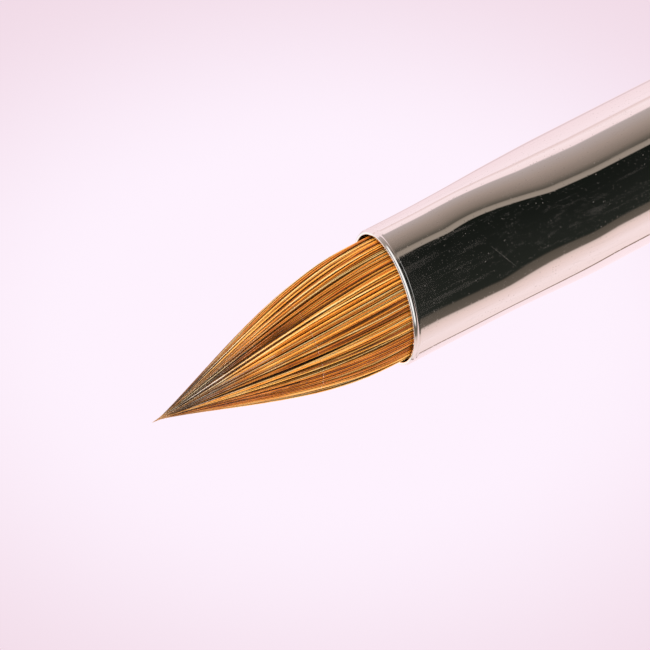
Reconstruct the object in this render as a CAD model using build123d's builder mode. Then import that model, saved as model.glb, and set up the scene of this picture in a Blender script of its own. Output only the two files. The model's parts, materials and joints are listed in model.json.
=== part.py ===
from build123d import *
from math import cos, pi, radians, sin
import os

# A fine detail brush with a plump sable tuft, lying along X on one of the six flats of its grip.
# Millimetres. The tip points to -X, the handle runs to +X and +Z is up. The origin is on the
# surface that the brush lies on, under the middle of its length.
# Stations along the brush, called s, are counted from the mouth of the ferrule: the hair that
# shows has s below 0, and the ferrule and the handle have s above 0.

# Driving dimensions
tuft_out = 13.1  # hair that shows, from the mouth to the point
mouth_half_wide = 3.32  # outside of the pressed oval mouth
mouth_half_thin = 2.33
oval_turn = 56.2  # the oval's wide axis above the horizontal, degrees
mouth_slant = 5.5  # the mouth leans back towards the upper end of the oval, degrees
wall = 0.2  # drawn brass tube
barrel_radius = 3.48  # round part of the ferrule
press_start = 4.6  # the pressed flats begin to fade here
press_end = 9.2  # and the ferrule is round from here on
ferrule_length = 31.0
handle_length = 136.0  # wood that shows behind the ferrule
grip_radius = 4.4  # thickest part of the handle, over its rounded corners
grip_flat = 4.05  # from the axis to the six flats that stop the brush from rolling
grip_start = 44.0
grip_length = 34.0
butt_radius = 2.0  # the handle's thin end, parallel where it stands in a brush rack
butt_length = 12.0
flex_angle = 35.0  # each way, at both bends of the tuft

# Places worked out from them
total_length = tuft_out + ferrule_length + handle_length
mouth = Vector(tuft_out - total_length / 2, 0, grip_flat)
handle_end = ferrule_length + handle_length
wide_way = Vector(0, cos(radians(oval_turn)), sin(radians(oval_turn)))
thin_way = Vector(0, -sin(radians(oval_turn)), cos(radians(oval_turn)))
brush_axis = Axis(mouth, (1, 0, 0))
inner_radius = barrel_radius - wall

# Profiles in the (s, radius) plane, and the oval's two planes of symmetry
side_plane = Plane(origin=mouth, x_dir=(1, 0, 0), z_dir=(0, -1, 0))
wide_plane = Plane(origin=mouth, x_dir=(1, 0, 0), z_dir=thin_way)
thin_plane = Plane(origin=mouth, x_dir=(1, 0, 0), z_dir=wide_way)


def section(s):
    """The plane across the brush at station s, with its x along the oval's wide axis."""
    return Plane(origin=mouth + Vector(s, 0, 0), x_dir=wide_way, z_dir=(1, 0, 0))


# Ferrule: oval mouth, flats that fade out, then a round barrel with two crimped rings
def pressed(s):
    """How much of the pressing is left at station s: 1 at the mouth and 0 on the barrel."""
    t = min(max((s - press_start) / (press_end - press_start), 0), 1)
    return 1 - t * t * (3 - 2 * t)


def ferrule_half_wide(s):
    """Outer half width along the oval's wide axis."""
    return barrel_radius - (barrel_radius - mouth_half_wide) * pressed(s)


def ferrule_half_thin(s):
    """Outer half width across the flats."""
    return barrel_radius - (barrel_radius - mouth_half_thin) * pressed(s)


nose_stations = [-0.6, 1.0, 2.8, 4.6, 5.6, 6.6, 7.6, 8.6, 9.2, 9.8]
nose_end = nose_stations[-1]
crimp_stations = [23.0, 26.5]
crimp_width = 1.8
crimp_depth = 0.24
overlap = 0.2  # the barrel starts this far inside the nose, so that they join


def crimped_line(start, end, radius):
    """A straight line along the brush at this radius, dipping in an arc at each crimped ring."""
    here = start
    for ring in crimp_stations:
        Line((here, radius), (ring - crimp_width / 2, radius))
        ThreePointArc(
            (ring - crimp_width / 2, radius), (ring, radius - crimp_depth), (ring + crimp_width / 2, radius)
        )
        here = ring + crimp_width / 2
    Line((here, radius), (end, radius))


def crimped_solid(start, end, radius, mode=Mode.ADD):
    """A round bar along the brush from start to end, with the crimped rings pressed into it."""
    with BuildSketch(side_plane) as profile:
        with BuildLine():
            crimped_line(start, end, radius)
            Polyline((end, radius), (end, 0), (start, 0), (start, radius))
        make_face()
    revolve(profile.sketch, axis=brush_axis, mode=mode)


def nose_solid(inset, mode=Mode.ADD):
    """The pressed nose of the ferrule, drawn in by the inset."""
    sections = []
    for s in nose_stations:
        with BuildSketch(section(s)) as outline:
            Ellipse(ferrule_half_wide(s) - inset, ferrule_half_thin(s) - inset)
        sections.append(outline.sketch)
    loft(sections=sections, mode=mode)


mouth_plane = Plane(
    origin=mouth,
    x_dir=thin_way,
    z_dir=Vector(1, 0, 0) * cos(radians(mouth_slant)) - wide_way * sin(radians(mouth_slant)),
)

with BuildPart() as ferrule:
    nose_solid(0)
    crimped_solid(nose_end - overlap, ferrule_length, barrel_radius)
    nose_solid(wall, Mode.SUBTRACT)
    crimped_solid(nose_end - overlap, ferrule_length, inner_radius, Mode.SUBTRACT)
    split(bisect_by=mouth_plane, keep=Keep.TOP)

# Tuft: the hair that shows is an ogive, oval at the mouth and round at the point. It is cut into
# two links, because the hair bends all along its length. Each link has a rounded heel about the
# axis that it turns on.
side_gap = 0.2  # between the hair and the mouth, at the two ends of the oval
flat_gap = 0.12  # and on the flats
ogive_power = 1.12
tip_radius = 0.05
press_hinge = -2.75  # the whole tuft bends here, across its flats
sweep_hinge = -7.2  # and the point bends here, along the oval's wide axis
link_gap = 0.12
tuft_half_wide_root = mouth_half_wide - wall - side_gap
tuft_half_thin_root = mouth_half_thin - wall - flat_gap


def tuft_half_wide(s):
    """Half width of the hair: the sine of a quarter turn times a power of the way from the tip."""
    along = max(1 + s / tuft_out, 0)
    return max(tuft_half_wide_root * sin(pi / 2 * along**ogive_power), tip_radius)


def tuft_half_thin(s):
    """Half thickness across the flats: the oval of the mouth grows round towards the tip."""
    oval = tuft_half_thin_root / tuft_half_wide_root
    return max(tuft_half_wide(s) * (1 + (oval - 1) * (1 + s / tuft_out)), tip_radius)


def hair_loft(stations):
    """A solid through the hair's ovals at these stations."""
    sections = []
    for s in stations:
        with BuildSketch(section(s)) as outline:
            Ellipse(tuft_half_wide(s), tuft_half_thin(s))
        sections.append(outline.sketch)
    loft(sections=sections)


reach = 2 * grip_radius  # longer than any half width of the hair
press_heel = tuft_half_thin(press_hinge)
sweep_heel = tuft_half_wide(sweep_hinge)
spare_angle = 12.0  # the heel of the point stays covered this much past its furthest turn
belly_front = sweep_hinge + sweep_heel * cos(radians(flex_angle + spare_angle))

with BuildPart() as tuft_belly:
    hair_loft([-0.4, -1.6, -2.8, -4.0, -5.2, -6.4])
    with BuildSketch(thin_plane):
        with Locations(((belly_front + press_hinge) / 2, 0)):
            Rectangle(press_hinge - belly_front, reach)
        with Locations((press_hinge, 0)):
            Circle(press_heel)
    extrude(amount=reach, both=True, mode=Mode.INTERSECT)
    with BuildSketch(wide_plane):
        with Locations((sweep_hinge, 0)):
            Circle(sweep_heel + link_gap)
    extrude(amount=reach, both=True, mode=Mode.SUBTRACT)

with BuildPart() as tuft_point:
    hair_loft([-5.2, -6.2, -7.2, -8.4, -9.6, -10.8, -12.0, -tuft_out])
    with BuildSketch(wide_plane):
        with Locations(((sweep_hinge - tuft_out) / 2, 0)):
            Rectangle(tuft_out + sweep_hinge, reach)
        with Locations((sweep_hinge, 0)):
            Circle(sweep_heel)
    extrude(amount=reach, both=True, mode=Mode.INTERSECT)

# Root of the tuft, held inside the ferrule: it follows the flats, narrows where the thread is
# wound round it, and ends in a blunt butt.
thread_radius = 0.14
thread_gap = 0.04
thread_turns = 8
thread_start = 8.5
thread_pitch = 2.1 * thread_radius
waist_radius = 2.55
waist_start = 8.2  # the hair is drawn in to the waist between the end of the flats and here
root_end = 11.3
root_chamfer = 0.2
root_stations = [-0.6, 1.1, 2.8, 4.5, 6.2, 7.9, 9.6, root_end]


def root_half(s, free):
    """Half width of the root at station s, where it would be this wide without the thread."""
    t = min(max((s - press_start) / (waist_start - press_start), 0), 1)
    return free + (waist_radius - free) * t * t * (3 - 2 * t)


with BuildPart() as tuft_root:
    root_outlines = []
    for s in root_stations:
        with BuildSketch(section(s)) as root_outline:
            Ellipse(root_half(s, tuft_half_wide_root), root_half(s, tuft_half_thin_root))
        root_outlines.append(root_outline.sketch)
    loft(sections=root_outlines)
    split(bisect_by=mouth_plane, keep=Keep.TOP)
    chamfer(tuft_root.edges().sort_by(Axis.X)[-1], root_chamfer)

# Binding thread: eight turns side by side round the waist of the root
with BuildPart() as binding_thread:
    for turn in range(thread_turns):
        with BuildSketch(side_plane):
            with Locations((thread_start + turn * thread_pitch, waist_radius + thread_radius + thread_gap)):
                Circle(thread_radius)
        revolve(axis=brush_axis)

# Cement: a disc poured in behind the butt of the hair, hollowed a little where it set
cement_gap = 0.05
cement_start = root_end + cement_gap
cement_length = 3.2
cement_dish = 0.6
dish_radius = (inner_radius**2 + cement_dish**2) / (2 * cement_dish)

with BuildPart() as root_cement:
    with BuildSketch(section(cement_start)):
        Circle(inner_radius)
    extrude(amount=cement_length)
    with Locations(mouth + Vector(cement_start + cement_length - cement_dish + dish_radius, 0, 0)):
        Sphere(dish_radius, mode=Mode.SUBTRACT)

# Handle: turned wood whose tenon fills the back of the ferrule. Six flats are planed on the grip,
# where it is thicker than they are apart, and the thin end is parallel.
tenon_start = 17.0
glue_film = 0.1
tenon_radius = inner_radius - glue_film
tenon_chamfer = 0.6
shoulder_gap = 0.05  # the shoulder stops just behind the edge of the ferrule
shoulder_radius = 3.62
shoulder_flare = 0.09  # slope of the handle as it leaves the ferrule
grip_end = grip_start + grip_length
butt_start = handle_end - butt_length
end_round = 1.2  # length of the rounded end
upright_section = Plane(origin=mouth, x_dir=(0, 1, 0), z_dir=(1, 0, 0))

with BuildPart() as handle:
    with BuildSketch(side_plane):
        shoulder = ferrule_length + shoulder_gap
        with BuildLine():
            crimped_line(tenon_start, ferrule_length, tenon_radius)
            Line((ferrule_length, tenon_radius), (shoulder, tenon_radius))
            Line((shoulder, tenon_radius), (shoulder, shoulder_radius))
            Spline((shoulder, shoulder_radius), (grip_start, grip_radius), tangents=[(1, shoulder_flare), (1, 0)])
            Line((grip_start, grip_radius), (grip_end, grip_radius))
            Spline((grip_end, grip_radius), (butt_start, butt_radius), tangents=[(1, 0), (1, 0)])
            Line((butt_start, butt_radius), (handle_end - end_round, butt_radius))
            EllipticalCenterArc((handle_end - end_round, 0), end_round, butt_radius, start_angle=0, arc_size=90)
            Line((handle_end, 0), (tenon_start, 0))
            Line((tenon_start, 0), (tenon_start, tenon_radius))
        make_face()
    revolve(axis=brush_axis)
    with BuildSketch(upright_section):
        RegularPolygon(grip_flat, side_count=6, major_radius=False)
    extrude(amount=total_length, mode=Mode.INTERSECT)
    chamfer(handle.edges().sort_by(Axis.X)[0], tenon_chamfer)

# Glue: the film between the tenon and the ferrule
glue_margin = 0.6  # the film stops this far short of both ends of the fit
glue_start = tenon_start + tenon_chamfer + glue_margin
glue_end = ferrule_length - glue_margin

with BuildPart() as handle_glue:
    crimped_solid(glue_start, glue_end, inner_radius)
    crimped_solid(glue_start, glue_end, tenon_radius, Mode.SUBTRACT)

# Each finished piece under its own name
os.makedirs("parts", exist_ok=True)
pieces = {
    "ferrule": ferrule,
    "tuft_root": tuft_root,
    "tuft_belly": tuft_belly,
    "tuft_point": tuft_point,
    "binding_thread": binding_thread,
    "root_cement": root_cement,
    "handle": handle,
    "handle_glue": handle_glue,
}
for name, piece in pieces.items():
    piece.part.label = name
    export_step(piece.part, f"parts/{name}.step")
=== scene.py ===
"""A fine detail brush: a plump sable tuft in a pressed, plated ferrule on a stained wooden handle.

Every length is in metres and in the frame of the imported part: the brush lies along X with its
point towards -X, and +Z is up. A station s is a distance along X from the mouth of the ferrule:
the hair that shows has s below 0, the ferrule and the handle have s above 0.
"""

import json
import logging
import math
from dataclasses import dataclass, field
from enum import Enum
from typing import Any

import bpy
import numpy as np
from mathutils import Matrix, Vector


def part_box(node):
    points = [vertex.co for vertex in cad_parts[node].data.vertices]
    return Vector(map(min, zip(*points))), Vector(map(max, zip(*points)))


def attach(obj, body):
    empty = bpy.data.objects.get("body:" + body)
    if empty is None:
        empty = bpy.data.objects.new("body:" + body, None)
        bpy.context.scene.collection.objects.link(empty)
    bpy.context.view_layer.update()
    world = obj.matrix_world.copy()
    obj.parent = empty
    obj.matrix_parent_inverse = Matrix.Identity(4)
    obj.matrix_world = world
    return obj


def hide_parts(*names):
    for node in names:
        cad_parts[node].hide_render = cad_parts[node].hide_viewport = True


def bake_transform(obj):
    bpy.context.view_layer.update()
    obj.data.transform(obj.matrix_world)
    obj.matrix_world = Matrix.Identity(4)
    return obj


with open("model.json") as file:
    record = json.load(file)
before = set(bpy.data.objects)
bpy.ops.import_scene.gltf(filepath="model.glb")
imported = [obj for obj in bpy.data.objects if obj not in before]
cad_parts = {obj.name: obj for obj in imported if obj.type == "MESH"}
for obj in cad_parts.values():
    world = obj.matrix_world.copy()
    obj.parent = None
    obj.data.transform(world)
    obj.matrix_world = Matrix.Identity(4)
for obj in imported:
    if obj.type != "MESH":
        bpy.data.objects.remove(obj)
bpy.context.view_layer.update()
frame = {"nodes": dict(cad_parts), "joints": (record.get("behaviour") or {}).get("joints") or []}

Array, Piece, Material = np.ndarray, bpy.types.Object, bpy.types.Material
Tree, Node, Socket = bpy.types.NodeTree, bpy.types.Node, bpy.types.NodeSocket
MM = 0.001
GOLDEN = (math.sqrt(5) - 1) / 2
FULL_TURN = 2 * math.pi
MIXED_COLOUR = 2  # Place of the colour among a Mix node's results

log = logging.getLogger("detail_brush")


class Body(Enum):
    """The brush's three bodies. The hair that shows has two lengths, named for the last two."""

    BRUSH = "brush"
    BELLY = "belly"
    POINT = "point"


class Slot(Enum):
    """The record's material slots that the new pieces belong to."""

    FERRULE = "plated_ferrule"
    HAIR = "sable_hair"
    WOOD = "lacquered_wood"


# ---- Where things are ----


@dataclass(frozen=True)
class Layout:
    """The brush's own axes, read from the frame."""

    mouth: Array  # Centre of the ferrule's mouth
    wide: Array  # Direction of the oval mouth's long axis
    thin: Array  # Direction across its flats
    press: float  # Station of the hinge that bends the whole tuft
    sweep: float  # Station of the hinge that bends its point
    tip: float  # Station of the hair's point
    ferrule_end: float  # Station of the back edge of the ferrule
    handle_end: float  # Station of the thin end of the handle

    @classmethod
    def from_frame(cls, tuft_out: float) -> "Layout":
        """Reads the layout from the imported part.

        Args:
            tuft_out: Length of the hair that shows.

        Returns:
            The layout.
        """
        hinges = {joint["name"]: joint for joint in frame["joints"]}
        press, sweep = hinges["tuft_press"], hinges["tuft_sweep"]
        tip_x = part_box("tuft_point")[0].x
        mouth = np.array([tip_x + tuft_out, press["pos_m"][1], press["pos_m"][2]])
        return cls(
            mouth=mouth,
            wide=np.array(press["axis"], float),
            thin=np.array(sweep["axis"], float),
            press=press["pos_m"][0] - mouth[0],
            sweep=sweep["pos_m"][0] - mouth[0],
            tip=-tuft_out,
            ferrule_end=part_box("ferrule")[1].x - mouth[0],
            handle_end=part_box("handle")[1].x - mouth[0],
        )

    def place(self, s: Array, wide: Array, thin: Array) -> Array:
        """Turns stations and offsets along the oval's two axes into points.

        Args:
            s: Stations.
            wide: Offsets along the oval's long axis.
            thin: Offsets across its flats.

        Returns:
            Points, with one more axis of length 3 than the arguments.
        """
        s, wide, thin = np.broadcast_arrays(s, wide, thin)
        ahead = np.array([1.0, 0.0, 0.0])
        return self.mouth + s[..., None] * ahead + wide[..., None] * self.wide + thin[..., None] * self.thin

    def at(self, s: float) -> tuple[float, float, float]:
        """The point on the brush's axis at station s."""
        return (float(self.mouth[0] + s), float(self.mouth[1]), float(self.mouth[2]))


def smoothstep(value: Array, start: float, end: float) -> Array:
    """Rises from 0 at start to 1 at end along 3t^2 - 2t^3, where t is the share of the way.

    Args:
        value: Where it is taken.
        start: Where it leaves 0.
        end: Where it reaches 1.

    Returns:
        The smooth step, as an array.
    """
    t = np.clip((np.asarray(value, float) - start) / (end - start), 0, 1)
    return t * t * (3 - 2 * t)


# ---- Meshes from arrays ----


def around(count: int) -> Array:
    """Angles of points spaced evenly round a full turn."""
    return np.linspace(0, FULL_TURN, count, endpoint=False)


def grid_faces(rows: int, columns: int, closed_rows: bool = False) -> Array:
    """Quads of a grid that goes round in its columns, facing out where rows run towards +X.

    Args:
        rows: Number of rings.
        columns: Points in each ring, which closes on itself.
        closed_rows: True if the last ring joins the first.

    Returns:
        Vertex numbers, one row of four for each quad.
    """
    i = np.arange(rows if closed_rows else rows - 1)[:, None]
    j = np.arange(columns)[None, :]
    ahead = (i + 1) % rows
    beside = (j + 1) % columns
    corners = [i * columns + j, i * columns + beside, ahead * columns + beside, ahead * columns + j]
    return np.stack(np.broadcast_arrays(*corners), axis=-1).reshape(-1, 4)


def end_caps(rows: int, columns: int) -> Array:
    """The two polygons that close such a grid at its first and last ring, facing out.

    Args:
        rows: Number of rings.
        columns: Points in each ring.

    Returns:
        Vertex numbers, one row for each polygon.
    """
    ring = np.arange(columns)
    return np.stack([ring[::-1], (rows - 1) * columns + ring])


def make_piece(name: str, points: Array, smooth: Array, flat: Array | None = None,
               values: dict[str, Array] | None = None) -> Piece:
    """Makes an object at the origin from whole arrays.

    Args:
        name: Name of the piece.
        points: Vertices, any shape that ends in 3.
        smooth: Faces shaded smooth, one row of vertex numbers each.
        flat: Faces shaded flat, such as end caps.
        values: Numbers kept on the vertices for the material, by name.

    Returns:
        The object, linked to the scene.
    """
    points = np.ascontiguousarray(points, np.float32).reshape(-1, 3)
    groups = [smooth] if flat is None else [smooth, flat]
    counts = np.concatenate([np.full(len(group), group.shape[1]) for group in groups])
    corners = np.concatenate([group.ravel() for group in groups]).astype(np.int32)
    is_smooth = np.concatenate([np.full(len(group), k == 0) for k, group in enumerate(groups)])
    mesh = bpy.data.meshes.new(name)
    mesh.vertices.add(len(points))
    mesh.vertices.foreach_set("co", points.ravel())
    mesh.loops.add(len(corners))
    mesh.loops.foreach_set("vertex_index", corners)
    mesh.polygons.add(len(counts))
    mesh.polygons.foreach_set("loop_start", (np.cumsum(counts) - counts).astype(np.int32))
    mesh.polygons.foreach_set("use_smooth", is_smooth)
    for label, numbers in (values or {}).items():
        layer = mesh.attributes.new(label, "FLOAT", "POINT")
        layer.data.foreach_set("value", np.ascontiguousarray(numbers, np.float32).ravel())
    mesh.update(calc_edges=True)
    mesh.validate()
    piece = bpy.data.objects.new(name, mesh)
    bpy.context.scene.collection.objects.link(piece)
    return piece


def make_rings(name: str, points: Array, tube: bool = False) -> Piece:
    """Makes a piece of rings: either capped at both ends, or a tube whose last ring joins its first.

    Args:
        name: Name of the piece.
        points: Vertices, as an array of rings by points in a ring by 3.
        tube: True for a tube, whose rings follow the closed outline of its wall.

    Returns:
        The piece.
    """
    rows, columns = points.shape[:2]
    caps = None if tube else end_caps(rows, columns)
    return make_piece(name, points, grid_faces(rows, columns, tube), caps)


# ---- Material tools ----


def linear(hex_colour: str) -> tuple[float, float, float, float]:
    """Turns an sRGB hex colour into linear light.

    Args:
        hex_colour: Six hex digits after a #.

    Returns:
        Red, green, blue and an alpha of 1.
    """
    channels = [int(hex_colour[k:k + 2], 16) / 255 for k in (1, 3, 5)]
    light = [c / 12.92 if c <= 0.04045 else ((c + 0.055) / 1.055) ** 2.4 for c in channels]
    return (light[0], light[1], light[2], 1.0)


def add_node(tree: Tree, kind: str, inputs: dict[Any, Any] | None = None,
             stops: tuple[tuple[float, str], ...] = (), **settings: Any) -> Node:
    """Adds a node with its settings, its input values and its links.

    Args:
        tree: The material's or the world's tree.
        kind: Blender's name for the node, after ShaderNode.
        inputs: A value, a socket or a node for each input, by name or number. A node gives its result.
        stops: Places and colours, where the node has a colour ramp.
        **settings: Properties of the node.

    Returns:
        The node.
    """
    node = tree.nodes.new("ShaderNode" + kind)
    for label, value in settings.items():
        setattr(node, label, value)
    for label, value in (inputs or {}).items():
        if isinstance(value, Node):
            value = value.outputs[MIXED_COLOUR if value.bl_idname == "ShaderNodeMix" else 0]
        if isinstance(value, Socket):
            tree.links.new(value, node.inputs[label])
        else:
            node.inputs[label].default_value = value
    if stops:
        elements = node.color_ramp.elements
        while len(elements) < len(stops):
            elements.new(1.0)
        for element, (place, colour) in zip(elements, stops):
            element.position = place
            element.color = linear(colour)
    return node


def start_material(name: str) -> tuple[Material, Tree, Socket]:
    """Starts a node material.

    Args:
        name: Name of the material.

    Returns:
        The material, its tree and the socket of its object coordinates.
    """
    material = bpy.data.materials.new(name)
    material.use_nodes = True
    material.node_tree.nodes.clear()
    coords = add_node(material.node_tree, "TexCoord").outputs["Object"]
    return material, material.node_tree, coords


def end_material(material: Material, kind: str, inputs: dict[Any, Any]) -> Material:
    """Ends a node material with its shader.

    Args:
        material: The material.
        kind: Blender's name for the shader, after ShaderNode.
        inputs: The shader's inputs, as add_node takes them.

    Returns:
        The material.
    """
    shader = add_node(material.node_tree, kind, inputs)
    add_node(material.node_tree, "OutputMaterial", {"Surface": shader})
    return material


def wear(piece: Piece, material: Material) -> None:
    """Gives a piece one material, in every slot that it has or in a new one.

    Args:
        piece: The piece.
        material: The material.
    """
    for slot in piece.material_slots:
        slot.material = material
    if not piece.material_slots:
        piece.data.materials.append(material)


def report(piece: Piece) -> None:
    """Logs a piece's name and its number of faces."""
    log.info("%-18s %7d faces", piece.name, len(piece.data.polygons))


def settle(piece: Piece, material: Material, node: str | None) -> None:
    """Dresses a finished piece, hides the CAD node that it replaces and logs it.

    Args:
        piece: The piece.
        material: Its material.
        node: The CAD node that it replaces, if it does.
    """
    wear(piece, material)
    if node:
        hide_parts(node)
    report(piece)


# ---- Finishes ----


@dataclass(frozen=True)
class PolishedNickel:
    """Drawn brass, nickel plated and buffed: a mirror with buffing hairlines, specks and a scratch.

    The eye reads the plating from its sharp reflections, and its age from the fine pale marks that
    show only where it reflects something dark. The specks and hairlines are coarser than real ones,
    so that they show. Fingers have left it a little dull near the mouth.
    """

    layout: Layout
    plate: str = "#F1EDEA"
    dull: str = "#E2DBD6"
    roughness: float = 0.035
    mark_roughness: float = 0.34
    marked_metal: float = 0.84
    mark_height: float = 0.002 * MM
    speck_spacing: float = 0.16 * MM
    hairline_width: float = 0.05 * MM
    clouds_per_metre: float = 700.0
    handled_run: tuple[float, float] = (0.4 * MM, 2.6 * MM)
    handled_haze: float = 0.16
    scratch_way: tuple[float, float, float] = (0.820, 0.054, 0.570)
    scratch_width: float = 0.026 * MM
    scratch_middle: tuple[float, float, float] = (5.28 * MM, -0.27 * MM, 3.09 * MM)
    scratch_reach: tuple[float, float] = (0.6 * MM, 1.2 * MM)

    def material(self) -> Material:
        """Builds the plating's material.

        Returns:
            The material.
        """
        material, tree, coords = start_material("polished_nickel_plate")
        specks = add_node(tree, "TexVoronoi", {"Vector": coords, "Scale": 1 / self.speck_spacing})
        near_speck = add_node(tree, "MapRange", {"Value": specks.outputs["Distance"], "From Min": 0.10,
            "From Max": 0.28, "To Min": 0.8, "To Max": 0.0})
        chosen = add_node(tree, "MapRange", {"Value": specks.outputs["Color"], "From Min": 0.35,
            "From Max": 0.85})
        turned = add_node(tree, "Mapping", {"Vector": coords, "Rotation": (0.3, 0.55, 0.9),
            "Scale": (0.05, 1.0, 1.0)})
        lines = add_node(tree, "TexNoise", {"Vector": turned, "Scale": 1 / self.hairline_width / 4,
            "Detail": 3.0, "Roughness": 0.6})
        hairline = add_node(tree, "MapRange", {"Value": lines.outputs["Fac"], "From Min": 0.55,
            "From Max": 0.72, "To Max": 0.24})
        haze = add_node(tree, "TexNoise", {"Vector": coords, "Scale": self.clouds_per_metre, "Detail": 5.0})
        cloudy = add_node(tree, "MapRange", {"Value": haze.outputs["Fac"], "From Min": 0.48, "From Max": 0.78,
            "To Max": 0.05})
        ahead = add_node(tree, "VectorMath", {0: coords, 1: (1.0, 0.0, 0.0)}, operation="DOT_PRODUCT")
        mouth = float(self.layout.mouth[0])
        handled = add_node(tree, "MapRange", {"Value": ahead.outputs["Value"],
            "From Min": mouth + self.handled_run[0], "From Max": mouth + self.handled_run[1],
            "To Min": self.handled_haze, "To Max": 0.0})
        worn = add_node(tree, "Math", {0: handled, 1: haze.outputs["Fac"]}, operation="MULTIPLY")
        cloudy = add_node(tree, "Math", {0: worn, 1: cloudy}, operation="ADD")
        marks = add_node(tree, "Math", {0: near_speck, 1: chosen}, operation="MULTIPLY")
        scratch = self.scratch(tree, coords)
        for mark, operation in ((hairline, "MAXIMUM"), (scratch, "MAXIMUM"), (cloudy, "ADD")):
            marks = add_node(tree, "Math", {0: marks, 1: mark}, operation=operation)
        rough = add_node(tree, "MapRange", {"Value": marks, "To Min": self.roughness,
            "To Max": self.mark_roughness})
        colour = add_node(tree, "Mix", {0: marks, 6: linear(self.plate), 7: linear(self.dull)},
            data_type="RGBA")
        bare = add_node(tree, "MapRange", {"Value": marks, "To Min": 1.0, "To Max": self.marked_metal})
        bump = add_node(tree, "Bump", {"Strength": 0.25, "Distance": self.mark_height, "Height": marks})
        return end_material(material, "BsdfPrincipled", {"Base Color": colour, "Metallic": bare,
            "Roughness": rough, "Normal": bump})

    def scratch(self, tree: Tree, coords: Socket) -> Node:
        """One long scratch: the line where a slanting plane cuts the tube, faded at both ends.

        Args:
            tree: The material's tree.
            coords: Object coordinates.

        Returns:
            A node that gives 1 on the scratch and 0 off it.
        """
        middle = self.layout.place(*map(np.array, self.scratch_middle))
        offset = add_node(tree, "VectorMath", {0: coords, 1: tuple(map(float, middle))}, operation="SUBTRACT")
        across = add_node(tree, "VectorMath", {0: offset, 1: self.scratch_way}, operation="DOT_PRODUCT")
        distance = add_node(tree, "Math", {0: across.outputs["Value"]}, operation="ABSOLUTE")
        reach = add_node(tree, "VectorMath", {0: offset}, operation="LENGTH")
        line = add_node(tree, "MapRange", {"Value": distance, "From Min": self.scratch_width / 3,
            "From Max": self.scratch_width, "To Min": 1.0, "To Max": 0.0})
        ends = add_node(tree, "MapRange", {"Value": reach.outputs["Value"], "From Min": self.scratch_reach[0],
            "From Max": self.scratch_reach[1], "To Min": 0.8, "To Max": 0.0})
        return add_node(tree, "Math", {0: line, 1: ends}, operation="MULTIPLY")


@dataclass(frozen=True)
class SableHair:
    """Natural sable guard hair: amber with brown and pale gold hairs, dark towards its point.

    Each hair has its own shade, kept on its mesh as tone. A hair is a smooth tube of keratin, so it
    has a thin bright line along it, and it darkens along its length as the animal's hair does. Where
    it lies against its neighbours, and deep in the tuft, painted shade turns it dark brown. Its
    palest colours towards the point are painted grey sheen.
    """

    shades: tuple[tuple[float, str], ...] = (
        (0.0, "#3A1A08"), (0.18, "#884111"), (0.40, "#CC6E1C"), (0.62, "#F09832"), (0.84, "#FCC060"),
        (1.0, "#FFE2A2"),
    )
    # Colours towards the point, by tone: the dark stops are the hair's own colour, the grey and near-white
    # stops at 0.82 and 1.0 are painted sheen
    point_shades_and_sheen: tuple[tuple[float, str], ...] = (
        (0.0, "#0F0C08"), (0.42, "#251D14"), (0.64, "#4E3C2A"), (0.82, "#8A7E72"), (1.0, "#E2DEDA"),
    )
    # Colour of the painted shade between hairs and deep in the tuft
    gap: str = "#220D04"
    worn_tip: str = "#D09C66"
    roughness: float = 0.25
    streak: float = 0.35 * MM

    def material(self) -> Material:
        """Builds the hair's material.

        Returns:
            The material.
        """
        material, tree, coords = start_material("sable_guard_hair")
        tone, dark, shut, worn = (
            add_node(tree, "Attribute", attribute_name=label).outputs["Fac"]
            for label in ("tone", "dark", "shut", "worn")
        )
        drawn = add_node(tree, "Mapping", {"Vector": coords, "Scale": (0.12, 1.0, 1.0)})
        streaks = add_node(tree, "TexNoise", {"Vector": drawn, "Scale": 1 / self.streak, "Detail": 2.0})
        shift = add_node(tree, "MapRange", {"Value": streaks.outputs["Fac"], "From Min": 0.3, "From Max": 0.7,
            "To Min": -0.12, "To Max": 0.12})
        shade = add_node(tree, "Math", {0: tone, 1: shift}, operation="ADD")
        colour = add_node(tree, "ValToRGB", {"Fac": shade}, stops=self.shades)
        point = add_node(tree, "ValToRGB", {"Fac": shade}, stops=self.point_shades_and_sheen)
        # Darker towards the point, paler where worn, then painted shade between hairs and deep in the tuft
        for share, over in ((dark, point), (worn, linear(self.worn_tip)), (shut, linear(self.gap))):
            colour = add_node(tree, "Mix", {0: share, 6: colour, 7: over}, data_type="RGBA")
        return end_material(material, "BsdfPrincipled", {"Base Color": colour, "Roughness": self.roughness,
            "IOR": 1.55, "Specular IOR Level": 0.6, "Sheen Weight": 0.45,
            "Sheen Tint": linear(self.shades[4][1])})


@dataclass(frozen=True)
class PackedHair:
    """Hair packed deep in the tuft, painted dark brown as the shade that lies there, with darker painted
    shade between its lines.
    """

    # Painted shade: the colour between the packed hairs, and the colour of the hairs themselves in that shade
    gap: str = "#1C0D05"
    strand_in_shade: str = "#5A300F"
    spacing: float = 0.11 * MM

    def material(self) -> Material:
        """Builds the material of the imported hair.

        Returns:
            The material.
        """
        material, tree, coords = start_material("packed_sable_hair")
        drawn = add_node(tree, "Mapping", {"Vector": coords, "Scale": (0.04, 1.0, 1.0)})
        lines = add_node(tree, "TexNoise", {"Vector": drawn, "Scale": 1 / (2 * self.spacing), "Detail": 2.0})
        # Painted shade: dark lines between lighter, still shaded, lines of hair
        stops = ((0.40, self.gap), (0.62, self.strand_in_shade))
        colour = add_node(tree, "ValToRGB", {"Fac": lines.outputs["Fac"]}, stops=stops)
        bump = add_node(tree, "Bump", {"Strength": 0.8, "Distance": self.spacing / 2,
            "Height": lines.outputs["Fac"]})
        return end_material(material, "BsdfPrincipled", {"Base Color": colour, "Roughness": 0.55,
            "Normal": bump})


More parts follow.
